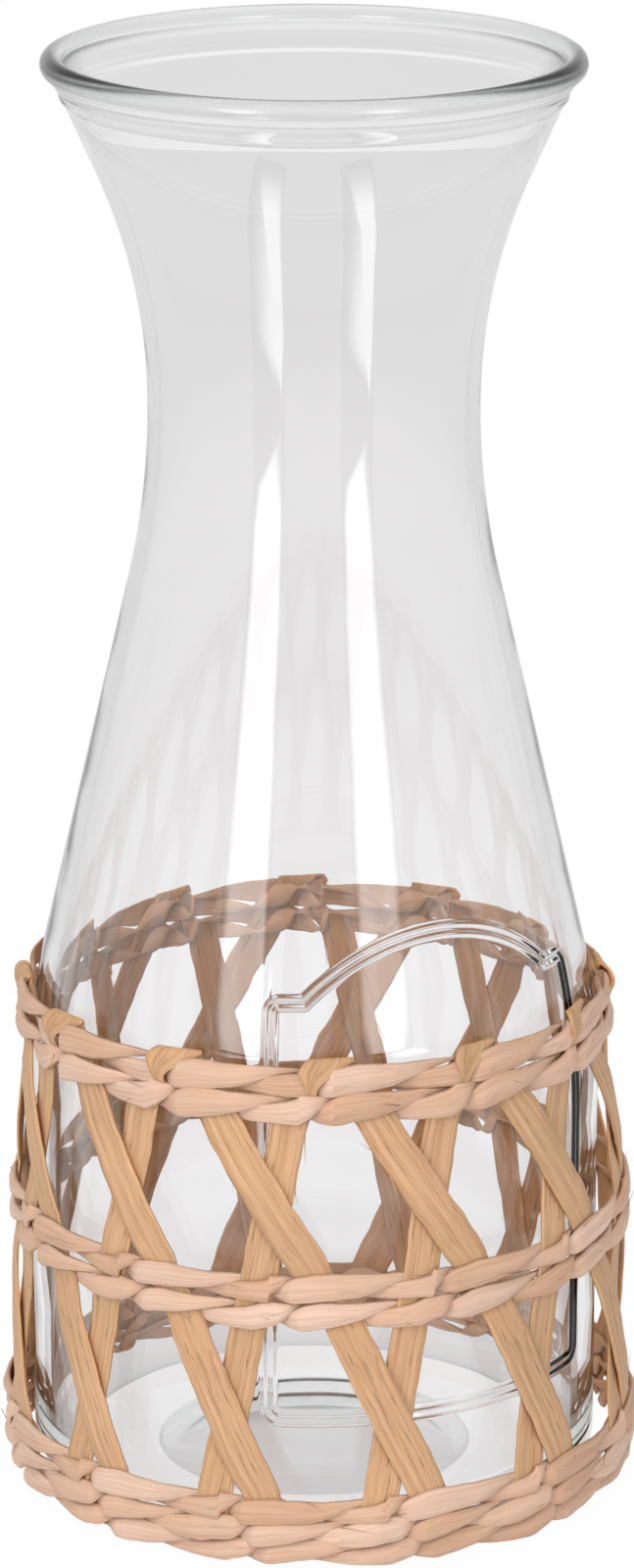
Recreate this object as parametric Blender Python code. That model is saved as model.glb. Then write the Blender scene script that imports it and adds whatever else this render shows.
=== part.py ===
"""Glass carafe in a woven openwork sleeve.

Metres, +Z up. The origin is on the table, at the centre of the base. The front
of the sleeve faces -Y, and azimuths are counted from there towards +X.

The glass is one blown piece: a straight body, a long cone, a waisted neck and
a beaded mouth, with a raised arched frame on the body. The sleeve has twelve
flat splints, each folded over the top row so that its two legs lean apart,
and seven rows of twining. A row is two flat strands that cross between the
legs, so that every leg has one strand in front and one behind.
"""

import math

import bpy
import numpy as np

for old in list(bpy.data.objects):
    bpy.data.objects.remove(old, do_unlink=True)

# Glass: heights and outer radii
CARAFE_HEIGHT = 0.250
RIM_RADIUS = 0.0454
BEAD_RADIUS = 0.00195
COLLAR_HEIGHT = 0.0040
COLLAR_STEP = 0.0004
FLARE_RADIUS = 0.0414
NECK_RADIUS = 0.0280
NECK_HEIGHT = 0.1907
BODY_RADIUS = 0.0492
SHOULDER_HEIGHT = 0.0842
SHOULDER_FILLET = 0.110
HEEL_RADIUS = 0.0070

# Glass: walls and base
NECK_WALL = 0.0020
BODY_WALL = 0.0030
FLOOR_THICKNESS = 0.0042
INNER_HEEL_RADIUS = 0.0080
PUNT_RADIUS = 0.0274
PUNT_RISE = 0.0022

# How much of the roundest possible arc the neck takes, above and below
FLARE_ARC_SHARE = 0.93
WAIST_ARC_SHARE = 0.4875

# Raised frame on the body
FRAME_AZIMUTH = math.radians(28.0)
FRAME_WIDTH = 0.0636
FRAME_BOTTOM = 0.0265
FRAME_SHOULDER = 0.0988
FRAME_LEDGE = 0.0060
FRAME_LEDGE_RISE = 0.0005
FRAME_ARCH_RISE = 0.0102
FRAME_BAND = 0.0024
FRAME_RIDGE = 0.0004
FRAME_ROOT = 0.0005
FRAME_CORNER = 0.0025

# Sleeve: stock
SPLINT_COUNT = 12
SPLINT_WIDTH = 0.0064
SPLINT_THICKNESS = 0.0005
STRAND_WIDTH = 0.0044
STRAND_THICKNESS = 0.00075
SEAT_GAP = 0.0003
FACET_ALLOWANCE = 0.00015

# Sleeve: rows
ROW_PITCH = 0.0048
TOP_HOOP_HEIGHT = 0.0853
MIDDLE_HOOP_HEIGHT = 0.0496
BOTTOM_HOOP_HEIGHT = 0.0084
BOTTOM_ROWS = 3
UPPER_HOOP_ROWS = 2
MIDDLE_SLACK = 0.0013
BOTTOM_SLACK = 0.0030
CROSSING_HALF_LENGTH = 0.0017

# Sleeve: lean of the splint legs, from the fold to the table
FIRST_FOLD_AZIMUTH = math.radians(3.5)
RIGHT_LEG_START = math.radians(0.8)
RIGHT_LEG_SWEEP = math.radians(51.5)
RIGHT_LEG_BOW_SHARE = 0.31
LEFT_LEG_START = math.radians(5.5)
LEFT_LEG_SWEEP = math.radians(19.5)
LEFT_LEG_BOW_SHARE = 0.22
WINDOW_SHARE = 0.65

# Sleeve: how the splints give way to each other and to the hoops
LAYER_OFFSET = 0.0005
LAYER_RAMP = 0.0035
WIDTH_RAMP = 0.0080
SPLINT_ROOM_SHARE = 0.90
FOLD_WIDTH = 0.0084
FOLDED_LEG_WIDTH = 0.0040
FLAP_WIDTH = 0.0018
SPLINT_END = 0.0020

# Facets and stations
GLASS_SEGMENTS = 36
ARC_STEPS = 4
HEEL_STEPS = 3
BEAD_STEPS = 6
FRAME_STEPS = 7
CORNER_STEPS = 2
FRONT_STATIONS = 3
BACK_STATIONS = 2
LEFT_LEG_STOPS = 1
RIGHT_LEG_STOPS = 3


def arc(centre, radius, start, end, steps):
    """Points (r, z) on a circle, from one angle to another."""
    angles = np.linspace(start, end, steps + 1)
    return [(centre[0] + radius * math.cos(a), centre[1] + radius * math.sin(a)) for a in angles]


def waist_arc(neck_radius, target, share):
    """The neck's arc from the waist to where a straight line to target touches it.

    The target is an (r, z) point above or below the neck. The roundest arc that
    still reaches it has radius (dr^2 + dz^2) / 2dr, and share says how much of
    that radius is used. Returns the centre, the radius and the turned angle.
    """
    rise = abs(target[1] - NECK_HEIGHT)
    reach = target[0] - neck_radius
    radius = share * (rise**2 + reach**2) / (2 * reach)
    centre = (neck_radius + radius, NECK_HEIGHT)
    distance = math.hypot(radius - reach, rise)
    turned = math.atan2(rise, radius - reach) - math.acos(radius / distance)
    return centre, radius, turned


def side_profile(neck_radius, body_radius, flare_target, fillet):
    """(r, z) points down one side of the glass, from the flare to the end of the shoulder."""
    centre, radius, turned = waist_arc(neck_radius, flare_target, FLARE_ARC_SHARE)
    upper = arc(centre, radius, math.pi - turned, math.pi, ARC_STEPS)
    corner = (body_radius, SHOULDER_HEIGHT)
    centre, radius, turned = waist_arc(neck_radius, corner, WAIST_ARC_SHARE)
    lower = arc(centre, radius, math.pi, math.pi + turned, ARC_STEPS)
    tangent = fillet * math.tan(turned / 2)
    fillet_centre = (body_radius - fillet, SHOULDER_HEIGHT - tangent)
    shoulder = arc(fillet_centre, fillet, turned, 0, ARC_STEPS)
    return upper + lower[1:] + shoulder


def outer_profile():
    """(r, z) points of the outside, from under the bead to the heel's top."""
    collar_bottom = CARAFE_HEIGHT - 2 * BEAD_RADIUS - COLLAR_HEIGHT
    below = side_profile(NECK_RADIUS, BODY_RADIUS, (FLARE_RADIUS, collar_bottom), SHOULDER_FILLET)
    collar = [
        (RIM_RADIUS - BEAD_RADIUS, CARAFE_HEIGHT - 2 * BEAD_RADIUS),
        (FLARE_RADIUS + 2 * COLLAR_STEP, collar_bottom + COLLAR_STEP),
        (FLARE_RADIUS, collar_bottom - COLLAR_STEP),
    ]
    return collar + below + [(BODY_RADIUS, HEEL_RADIUS)]


OUTSIDE = np.array(outer_profile())


def glass_radius(height):
    """Outer radius of the glass at a height between the heel and the collar."""
    return np.interp(height, OUTSIDE[::-1, 1], OUTSIDE[::-1, 0])


def glass_profile():
    """The whole section: up the inside from the floor, over the bead, down the outside."""
    inner_body = BODY_RADIUS - BODY_WALL
    mouth = (RIM_RADIUS - 2 * BEAD_RADIUS, CARAFE_HEIGHT - BEAD_RADIUS)
    inside = side_profile(NECK_RADIUS - NECK_WALL, inner_body, mouth, SHOULDER_FILLET)[::-1]
    heel_centre = (inner_body - INNER_HEEL_RADIUS, FLOOR_THICKNESS + INNER_HEEL_RADIUS)
    inner_heel = arc(heel_centre, INNER_HEEL_RADIUS, -math.pi / 2, 0, HEEL_STEPS)
    bead_centre = (RIM_RADIUS - BEAD_RADIUS, CARAFE_HEIGHT - BEAD_RADIUS)
    bead = arc(bead_centre, BEAD_RADIUS, math.pi, -math.pi / 3, BEAD_STEPS)
    heel = arc((BODY_RADIUS - HEEL_RADIUS, HEEL_RADIUS), HEEL_RADIUS, 0, -math.pi / 2, HEEL_STEPS)
    punt = [(PUNT_RADIUS, 0), (PUNT_RADIUS - PUNT_RISE, PUNT_RISE), (0, PUNT_RISE)]
    floor = [(0, FLOOR_THICKNESS)]
    return floor + inner_heel + inside + bead + OUTSIDE[1:-1].tolist() + heel + punt


def finish(obj, material, sharp_angle):
    """Gives an object its material and smooth shading with sharp creases."""
    obj.data.materials.append(material)
    obj.data.shade_smooth()
    obj.data.set_sharp_from_angle(angle=sharp_angle)


def new_object(name, points, edges, faces):
    mesh = bpy.data.meshes.new(name)
    mesh.from_pydata(points, edges, faces)
    obj = bpy.data.objects.new(name, mesh)
    bpy.context.scene.collection.objects.link(obj)
    return obj


def loft(name, rings, closed):
    """A solid through rings of points, an array (ring, corner, xyz); closed joins last to first."""
    rings = np.asarray(rings)
    count, corners = rings.shape[:2]
    spans = count if closed else count - 1
    faces = []
    for i in range(spans):
        for j in range(corners):
            here, ahead = i * corners, (i + 1) % count * corners
            side = (j + 1) % corners
            faces.append((here + j, here + side, ahead + side, ahead + j))
    if not closed:
        faces.append(tuple(range(corners))[::-1])
        faces.append(tuple((count - 1) * corners + j for j in range(corners)))
    return new_object(name, rings.reshape(-1, 3).tolist(), [], faces)


def around(azimuth, radius, height):
    """XYZ of points on the carafe, from azimuth, radius and height."""
    azimuth, radius, height = np.broadcast_arrays(azimuth, radius, height)
    return np.stack([radius * np.sin(azimuth), -radius * np.cos(azimuth), height], axis=-1)


def principled(name, colour, roughness, transmission=0.0, ior=1.5):
    material = bpy.data.materials.new(name)
    material.use_nodes = True
    shader = material.node_tree.nodes["Principled BSDF"]
    shader.inputs["Base Color"].default_value = (*colour, 1)
    shader.inputs["Roughness"].default_value = roughness
    shader.inputs["Metallic"].default_value = 0.0
    shader.inputs["Transmission Weight"].default_value = transmission
    shader.inputs["IOR"].default_value = ior
    return material


def frame_path():
    """(along, height) points of the raised frame: sides, ledges, an arch and a level foot."""
    half = FRAME_WIDTH / 2
    corner = (half - FRAME_CORNER, FRAME_BOTTOM + FRAME_CORNER)
    foot = arc(corner, FRAME_CORNER, -math.pi / 2, 0, CORNER_STEPS)
    ledge_height = FRAME_SHOULDER + FRAME_LEDGE_RISE
    span = half - FRAME_LEDGE
    radius = (span**2 + FRAME_ARCH_RISE**2) / (2 * FRAME_ARCH_RISE)
    turned = math.asin(span / radius)
    peak = ledge_height + FRAME_ARCH_RISE
    arch = arc((0, peak - radius), radius, math.pi / 2 - turned, math.pi / 2, FRAME_STEPS)
    heights = np.linspace(FRAME_BOTTOM + 2 * FRAME_CORNER, FRAME_SHOULDER, FRAME_STEPS)
    side = [(half, height) for height in heights]
    widths = np.linspace(0, half - 2 * FRAME_CORNER, FRAME_STEPS)
    base = [(along, FRAME_BOTTOM) for along in widths]
    right = base + foot + side + arch
    left = [(-x, z) for x, z in right[1:-1]][::-1]
    return np.array(right + left)


def frame_ridge():
    """The frame as a band on the glass, rooted in its wall."""
    path = frame_path()
    step = np.roll(path, -1, axis=0) - np.roll(path, 1, axis=0)
    step /= np.linalg.norm(step, axis=1)[:, None]
    outward = np.stack([step[:, 1], -step[:, 0]], axis=1)
    section = [
        (-FRAME_BAND / 2, -FRAME_ROOT),
        (FRAME_BAND / 2, -FRAME_ROOT),
        (FRAME_BAND / 4, FRAME_RIDGE),
        (-FRAME_BAND / 4, FRAME_RIDGE),
    ]
    rings = []
    for across, lift in section:
        along, height = (path + across * outward).T
        azimuth = FRAME_AZIMUTH + along / BODY_RADIUS
        rings.append(around(azimuth, glass_radius(height) + lift, height))
    return loft("frame_ridge_tool", np.stack(rings, axis=1), closed=True)


def glass_bottle(material):
    """The glass, turned from its section, with the raised frame joined to its wall."""
    profile = [(r, 0, z) for r, z in glass_profile()]
    edges = [(i, i + 1) for i in range(len(profile) - 1)]
    bottle = new_object("glass_bottle", profile, edges, [])
    screw = bottle.modifiers.new("turn", "SCREW")
    screw.steps = GLASS_SEGMENTS
    screw.render_steps = GLASS_SEGMENTS
    screw.use_merge_vertices = True
    screw.merge_threshold = SEAT_GAP / 30
    ridge = frame_ridge()
    ridge.hide_render = True
    ridge.display_type = "WIRE"
    union = bottle.modifiers.new("frame", "BOOLEAN")
    union.operation = "UNION"
    union.solver = "EXACT"
    union.object = ridge
    finish(bottle, material, math.radians(40))
    return bottle


# Half the stack of strand, splint and strand, and a strand's distance from the splint's middle
STRAND_OFFSET = SPLINT_THICKNESS / 2 + SEAT_GAP + FACET_ALLOWANCE + STRAND_THICKNESS / 2
HALF_STACK = STRAND_OFFSET + STRAND_THICKNESS / 2
TIP_RISE = (STRAND_WIDTH + SEAT_GAP) / 4


def row_list():
    """(name, height, middle radius) of every row, from the top down."""
    hoops = [
        ("top", TOP_HOOP_HEIGHT, UPPER_HOOP_ROWS, 0),
        ("middle", MIDDLE_HOOP_HEIGHT, UPPER_HOOP_ROWS, MIDDLE_SLACK),
        ("bottom", BOTTOM_HOOP_HEIGHT, BOTTOM_ROWS, BOTTOM_SLACK),
    ]
    rows = []
    for hoop, middle, count, slack in hoops:
        for i in range(count):
            height = middle + ROW_PITCH * ((count - 1) / 2 - i)
            glass = glass_radius(height - ROW_PITCH / 2) + FRAME_RIDGE
            rows.append((f"{hoop}_row_{i + 1}", height, glass + SEAT_GAP + slack + HALF_STACK))
    return rows


ROWS = row_list()
FOLD_HEIGHT = ROWS[0][1] + STRAND_WIDTH / 2 + SEAT_GAP + SPLINT_THICKNESS


def sleeve_radius(height):
    """Radius of the splints' middle layer at a height."""
    heights = [row[1] for row in ROWS][::-1]
    radii = [row[2] for row in ROWS][::-1]
    return np.interp(height, heights, radii)


def right_leg(height):
    """Azimuth of the leg that leans right, from its fold."""
    fallen = 1 - height / FOLD_HEIGHT
    return RIGHT_LEG_START + RIGHT_LEG_SWEEP * fallen * (1 + RIGHT_LEG_BOW_SHARE * (1 - fallen))


def left_leg(height):
    """Azimuth of the leg that leans left, from its fold."""
    fallen = 1 - height / FOLD_HEIGHT
    return -LEFT_LEG_START - LEFT_LEG_SWEEP * fallen * (1 + LEFT_LEG_BOW_SHARE * (1 - fallen))


# Bottom and top height of each hoop, from the table up, and the angle from fold to fold
HALF_HOOP = UPPER_HOOP_ROWS * ROW_PITCH / 2
HALF_BASE = BOTTOM_ROWS * ROW_PITCH / 2
HOOPS = [
    (BOTTOM_HOOP_HEIGHT - HALF_BASE, BOTTOM_HOOP_HEIGHT + HALF_BASE),
    (MIDDLE_HOOP_HEIGHT - HALF_HOOP, MIDDLE_HOOP_HEIGHT + HALF_HOOP),
    (TOP_HOOP_HEIGHT - HALF_HOOP, TOP_HOOP_HEIGHT + HALF_HOOP),
]
PITCH = 2 * math.pi / SPLINT_COUNT


def held(height, ramp):
    """1 where a hoop holds a splint, falling to 0 over the ramp above or below it."""
    away = min(max(low - height, height - high, 0) for low, high in HOOPS)
    return max(1 - away / ramp, 0)


def neighbours(height):
    """Azimuths, from one fold, of a right leg and of the left leg just before it."""
    right = right_leg(height)
    left = left_leg(height)
    return right, left + PITCH * math.floor((right - left) / PITCH)


def crossings(height):
    """Azimuths where a row's strands change places, before and after a right leg."""
    right, left = neighbours(height)
    window = left + PITCH - right
    room = (CROSSING_HALF_LENGTH + SPLINT_WIDTH / 2 + SEAT_GAP) / sleeve_radius(height)
    return (left + right) / 2, left + PITCH - max((1 - WINDOW_SHARE) * window, room)


def leg_width(height):
    """Full width in the openings, drawn in where a hoop's strands cross beside the leg."""
    right, left = neighbours(height)
    room = (right - left) * sleeve_radius(height) - 2 * CROSSING_HALF_LENGTH
    drawn_in = min(SPLINT_WIDTH, room * SPLINT_ROOM_SHARE)
    return SPLINT_WIDTH + (drawn_in - SPLINT_WIDTH) * held(height, WIDTH_RAMP)


def stretch(start, end, side, count):
    """Stations (azimuth, radial offset, rise) of a strand in front of a leg or, with side -1, behind it."""
    azimuth = np.linspace(start, end, count)
    offset = np.full(count, side * STRAND_OFFSET)
    rise = side * np.linspace(-TIP_RISE, TIP_RISE, count)
    return np.stack([azimuth, offset, rise], axis=1)


def strand(name, height, radius, over_right, material):
    """One strand of a row: round the carafe in front of every other leg and behind the rest."""
    before, after = crossings(height)
    clear = CROSSING_HALF_LENGTH / radius
    front = 1 if over_right else -1
    wide = stretch(before + clear, after - clear, front, FRONT_STATIONS)
    narrow_count = BACK_STATIONS if over_right else FRONT_STATIONS
    narrow = stretch(after + clear, before + PITCH - clear, -front, narrow_count)
    one_fold = np.concatenate([wide, narrow])
    stations = []
    for i in range(SPLINT_COUNT):
        stations.append(one_fold + (FIRST_FOLD_AZIMUTH + i * PITCH, 0, 0))
    azimuth, offset, rise = np.concatenate(stations).T
    half_width = STRAND_WIDTH / 2 - np.abs(rise)
    half_thickness = STRAND_THICKNESS / 2
    middle = radius + offset
    corners = [
        around(azimuth, middle + half_thickness, height + rise),
        around(azimuth, middle, height + rise - half_width),
        around(azimuth, middle - half_thickness, height + rise),
        around(azimuth, middle, height + rise + half_width),
    ]
    obj = loft(name, np.stack(corners, axis=1), closed=True)
    finish(obj, material, math.radians(60))
    return obj


def leg_heights(stops):
    """Heights of a leg's stations: hoop edges, ends of the ramps, and stops along each opening."""
    top = ROWS[1][1]
    marks = [SPLINT_END]
    for low, high in HOOPS:
        edges = (low - LAYER_RAMP, low, high, high + LAYER_RAMP)
        marks += [z for z in edges if SPLINT_END < z < top]
    marks.append(top)
    heights = []
    for low, high in zip(marks, marks[1:]):
        between = stops if high - low > WIDTH_RAMP else 0
        heights += list(np.linspace(low, high, between + 2)[:-1])
    return heights + [top]


def splint_path():
    """Stations (azimuth, radius, height, width, level) of a splint.

    It runs up its left leg, out between the two top rows, over the upper row and
    down its right leg. In the openings the right leg lies outside the left one.
    A station's section is square to the path, or level where level is 1.
    """
    left = []
    right = []
    for z in leg_heights(LEFT_LEG_STOPS):
        layer = LAYER_OFFSET * (1 - held(z, LAYER_RAMP))
        left.append((left_leg(z), sleeve_radius(z) - layer, z, leg_width(z), 0))
    for z in leg_heights(RIGHT_LEG_STOPS):
        layer = LAYER_OFFSET * (1 - held(z, LAYER_RAMP))
        right.append((right_leg(z), sleeve_radius(z) + layer, z, leg_width(z), 0))
    row_height, row_radius = ROWS[0][1:]
    flap = crossings(row_height)[0] - (CROSSING_HALF_LENGTH + FLAP_WIDTH / 2) / row_radius
    under = row_height - STRAND_WIDTH / 2 - SEAT_GAP / 2
    proud = row_radius + HALF_STACK + SEAT_GAP + SPLINT_THICKNESS / 2
    back = right_leg(row_height)
    middle = (flap + back) / 2
    shoulder = FOLD_HEIGHT - SPLINT_THICKNESS
    crease_width = (FOLD_WIDTH + FOLDED_LEG_WIDTH) / 2
    fold = [
        (flap, row_radius, under - SPLINT_THICKNESS, FLAP_WIDTH, 1),
        (flap, proud, row_height - TIP_RISE, FLAP_WIDTH, 1),
        (middle, proud, shoulder, FOLD_WIDTH, 1),
        ((middle + back) / 2, (proud + row_radius) / 2, FOLD_HEIGHT, crease_width, 1),
        (back, row_radius, shoulder, FOLDED_LEG_WIDTH, 1),
        (back, row_radius, row_height, FOLDED_LEG_WIDTH, 1),
    ]
    return np.array(left + fold + right[::-1])


def splint(name, fold_azimuth, material):
    """A flat splint along its path, its width level round the carafe and square to the path."""
    azimuth, radius, height, width, level = splint_path().T
    azimuth = azimuth + fold_azimuth
    middle = around(azimuth, radius, height)
    along = np.gradient(middle, axis=0)
    along /= np.linalg.norm(along, axis=1)[:, None]
    tangent = around(azimuth + math.pi / 2, 1, 0)
    lean = (tangent * along).sum(axis=1) * (1 - level)
    across = tangent - lean[:, None] * along
    across /= np.linalg.norm(across, axis=1)[:, None]
    through = np.cross(along, across)
    through /= np.linalg.norm(through, axis=1)[:, None]
    half_width = across * width[:, None] / 2
    half_thickness = through * SPLINT_THICKNESS / 2
    corners = [
        middle - half_width - half_thickness,
        middle + half_width - half_thickness,
        middle + half_width + half_thickness,
        middle - half_width + half_thickness,
    ]
    obj = loft(name, np.stack(corners, axis=1), closed=False)
    finish(obj, material, math.radians(50))
    return obj


def build():
    glass = principled("clear_glass", (0.93, 0.95, 0.94), 0.02, transmission=1.0)
    pink_straw = principled("twined_strand", (0.66, 0.43, 0.30), 0.62)
    gold_wood = principled("splint_wood", (0.70, 0.44, 0.22), 0.66)
    glass_bottle(glass)
    for i in range(SPLINT_COUNT):
        splint(f"splint_{i + 1:02d}", FIRST_FOLD_AZIMUTH + i * PITCH, gold_wood)
    for name, height, radius in ROWS:
        strand(f"{name}_strand_a", height, radius, True, pink_straw)
        strand(f"{name}_strand_b", height, radius, False, pink_straw)


build()
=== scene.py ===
"""Dressed view of a glass carafe in a woven openwork sleeve.

Metres, +Z up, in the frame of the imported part. Azimuths are counted from the
front, -Y, towards +X. The sections follow the carafe as it is put together:
the studio, the glass, the twelve splints, the seven rows of twining, and the
loose fibres that stand off them.
"""

import bpy
import math
import numpy as np
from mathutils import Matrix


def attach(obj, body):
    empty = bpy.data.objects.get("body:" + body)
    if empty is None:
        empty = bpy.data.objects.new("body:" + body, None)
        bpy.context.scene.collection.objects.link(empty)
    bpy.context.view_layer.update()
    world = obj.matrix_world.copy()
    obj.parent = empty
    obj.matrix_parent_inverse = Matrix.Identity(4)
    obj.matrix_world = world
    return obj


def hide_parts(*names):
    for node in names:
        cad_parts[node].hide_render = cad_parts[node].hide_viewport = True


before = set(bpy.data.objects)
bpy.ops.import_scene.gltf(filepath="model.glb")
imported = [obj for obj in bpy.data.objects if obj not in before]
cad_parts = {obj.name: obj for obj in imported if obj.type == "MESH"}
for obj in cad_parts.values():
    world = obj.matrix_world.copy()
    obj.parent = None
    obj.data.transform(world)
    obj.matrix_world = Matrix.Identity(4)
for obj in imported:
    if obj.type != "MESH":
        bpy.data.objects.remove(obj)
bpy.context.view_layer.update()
bpy.context.scene.view_settings.view_transform = "Standard"


# The camera stands a metre in front and looks 17 degrees down, through a long lens.
# The picture is 647 by 1600, and the carafe's axis falls a little left of its middle.
PICTURE_WIDTH, PICTURE_HEIGHT = 647, 1600
AXIS_COLUMN = 320.5
FOCAL_PIXELS = 6395
SENSOR = 36
CAMERA_PLACE = (0, -1.025, 0.440)
CAMERA_DIP = 17.18


def add_object(name, data):
    """An object for a camera, a light or a mesh, linked in at the origin."""
    made = bpy.data.objects.new(name, data)
    bpy.context.scene.collection.objects.link(made)
    return made


lens = bpy.data.cameras.new("camera")
lens.sensor_width = SENSOR
lens.lens = SENSOR * FOCAL_PIXELS / PICTURE_HEIGHT
lens.shift_x = (PICTURE_WIDTH / 2 - AXIS_COLUMN) / PICTURE_HEIGHT
camera = add_object("camera", lens)
camera.location = CAMERA_PLACE
camera.rotation_euler = (math.radians(90 - CAMERA_DIP), 0, 0)
bpy.context.scene.camera = camera


# The studio is a white table that runs back out of sight under an even pale sky. Two
# upright strip lamps stand left and right of the camera and give the glass its two tall
# reflections, each drawn in at the waist. One soft lamp hangs overhead and one behind.
WHITE = (1, 1, 1, 1)
SKY_LEVEL = 0.38
SKY_OVERHEAD = 0.28
SKY_FADE = (0.05, 0.55)
FLOOR_RADIUS = 30.0
FLOOR_SIDES = 96
FLOOR_ALBEDO = 0.94
SEEN_SHARE = 0.97
THROUGH_SHARE = 0.66
FAR_LEVEL = 0.71
FAR_RISE = 0.12
FAR_FALL_REACH = (0.19, 0.58)
FAR_RISE_REACH = (0.75, 1.50)


def feed(tree, node, inputs):
    """Gives each input of a node its value, or links the socket that feeds it."""
    for key, value in inputs.items():
        if isinstance(value, bpy.types.NodeSocket):
            tree.links.new(value, node.inputs[key])
        else:
            node.inputs[key].default_value = value


def add_node(tree, kind, inputs=None, **settings):
    """A node of this kind with its settings, and its inputs fed."""
    made = tree.nodes.new(kind)
    for key, value in settings.items():
        setattr(made, key, value)
    feed(tree, made, inputs or {})
    return made


def computed(tree, operation, *terms):
    """The result of one Math node on its terms, each a number or a socket."""
    return add_node(tree, "ShaderNodeMath", dict(enumerate(terms)), operation=operation).outputs[0]


def ranged(tree, value, reach, low=0.0, high=1.0, smooth=False):
    """A value carried from its reach to low..high and held beyond it, straight or as a smooth step."""
    inputs = {"Value": value, "From Min": reach[0], "From Max": reach[1], "To Min": low, "To Max": high}
    course = "SMOOTHSTEP" if smooth else "LINEAR"
    return add_node(tree, "ShaderNodeMapRange", inputs, interpolation_type=course).outputs["Result"]


def seen_plainly(tree, path):
    """1 for rays from the camera, a reflection or a clear body, 0 for the rest."""
    mirrored = computed(tree, "MAXIMUM", path["Is Glossy Ray"], path["Is Transmission Ray"])
    return computed(tree, "MAXIMUM", path["Is Camera Ray"], mirrored)


def new_material(name):
    """A material with nodes, and its node tree."""
    material = bpy.data.materials.new(name)
    material.use_nodes = True
    return material, material.node_tree


world = bpy.data.worlds.new("studio")
world.use_nodes = True
bpy.context.scene.world = world
sky = world.node_tree
sky_path = add_node(sky, "ShaderNodeLightPath").outputs
direction = add_node(sky, "ShaderNodeTexCoord").outputs["Generated"]
upward = add_node(sky, "ShaderNodeSeparateXYZ", {0: direction}).outputs["Z"]
pale = ranged(sky, upward, SKY_FADE, 1.0, SKY_OVERHEAD, smooth=True)
sky_inputs = {"Factor": seen_plainly(sky, sky_path), "A": SKY_LEVEL, "B": pale}
sky_mix = add_node(sky, "ShaderNodeMix", sky_inputs, data_type="FLOAT")
feed(sky, sky.nodes["Background"], {"Color": WHITE, "Strength": sky_mix.outputs["Result"]})

floor_angles = np.linspace(0, 2 * np.pi, FLOOR_SIDES, endpoint=False)
floor_points = np.stack([np.cos(floor_angles), np.sin(floor_angles), 0 * floor_angles], axis=1) * FLOOR_RADIUS
floor_mesh = bpy.data.meshes.new("table_top")
floor_mesh.from_pydata(floor_points.tolist(), [], [tuple(range(FLOOR_SIDES))])
table_top = add_object("table_top", floor_mesh)
white_top, top_tree = new_material("white_top")
top_tree.nodes.clear()
top_path = add_node(top_tree, "ShaderNodeLightPath").outputs
top_place = add_node(top_tree, "ShaderNodeTexCoord").outputs["Object"]
away = add_node(top_tree, "ShaderNodeVectorMath", {0: top_place}, operation="LENGTH").outputs["Value"]
far_fall = ranged(top_tree, away, FAR_FALL_REACH, 1.0, FAR_LEVEL, smooth=True)
far_rise = ranged(top_tree, away, FAR_RISE_REACH, 0.0, FAR_RISE, smooth=True)
far_sum = computed(top_tree, "ADD", far_fall, far_rise)
far_level = computed(top_tree, "MAXIMUM", far_sum, top_path["Is Camera Ray"])
share_level = ranged(top_tree, top_path["Is Camera Ray"], (0, 1), THROUGH_SHARE, SEEN_SHARE)
glow_share = computed(top_tree, "MULTIPLY", seen_plainly(top_tree, top_path), share_level)
matt = add_node(top_tree, "ShaderNodeBsdfDiffuse", {"Color": (FLOOR_ALBEDO, FLOOR_ALBEDO, FLOOR_ALBEDO, 1)})
glow = add_node(top_tree, "ShaderNodeEmission", {"Color": WHITE, "Strength": far_level})
top_inputs = {0: glow_share, 1: matt.outputs[0], 2: glow.outputs[0]}
top_mix = add_node(top_tree, "ShaderNodeMixShader", top_inputs)
add_node(top_tree, "ShaderNodeOutputMaterial", {"Surface": top_mix.outputs[0]})
white_top.cycles.emission_sampling = "NONE"
floor_mesh.materials.append(white_top)

# Each strip is an area lamp for scattered light and a face that only reflections see. The
# face has an upright part and a ledge below it that comes in towards the carafe; on it x
# runs from -1 to 1 across, and y is 0 to 1 along the ledge and 1 to 2 up the upright part.
STRIPS = ((-1, 30.0, "left_strip"), (1, 28.5, "right_strip"))
STRIP_HALF_ANGLE = math.radians(10.8)
STRIP_DISTANCE = 0.70
STRIP_FOOT = 0.080
STRIP_LEDGE = 0.088
STRIP_WIDTH = 0.235
STRIP_HEIGHT = 0.46
STRIP_CLEARANCE = 0.002
LAMP_RADIANCE = 1.7
UPRIGHT_RADIANCE = 6.6
LEDGE_RADIANCE = 5.6
LEDGE_TO_UPRIGHT = (0.6, 1.1)
PINCH_BELOW = (0.20, 0.44)
PINCH_ABOVE = (1.25, 0.42)
SIDE_FADE = (1.0, 0.60)
FOOT_FADE = (0.0, 0.07)
REAR_SIZE = 0.50
REAR_PLACE = (0, 0.75, 0.45)
REAR_AIM = 0.10
REAR_RADIANCE = 1.6
SUN_STRENGTH = 2.0
SUN_SPREAD = 50
SUN_TILT = (36, -14)


def hide_from(thing, rays):
    """Makes a thing unseen by the named kinds of ray."""
    for kind in rays:
        setattr(thing, "visible_" + kind, False)


def hang_lamp(light, place, turn, hidden_rays):
    """Hangs a light at its place, turned, and unseen by the named kinds of ray."""
    lamp = add_object(light.name, light)
    lamp.location = place
    lamp.rotation_euler = turn
    hide_from(lamp, hidden_rays)


def add_mesh(name, points, faces, corner_uv):
    """A mesh of points and faces, with a surface coordinate for each corner of each face."""
    mesh = bpy.data.meshes.new(name)
    mesh.from_pydata(points.reshape(-1, 3).tolist(), [], faces)
    layer = mesh.uv_layers.new(name="surface")
    layer.data.foreach_set("uv", np.array(corner_uv, dtype=np.float32).ravel())
    return add_object(name, mesh)


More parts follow.
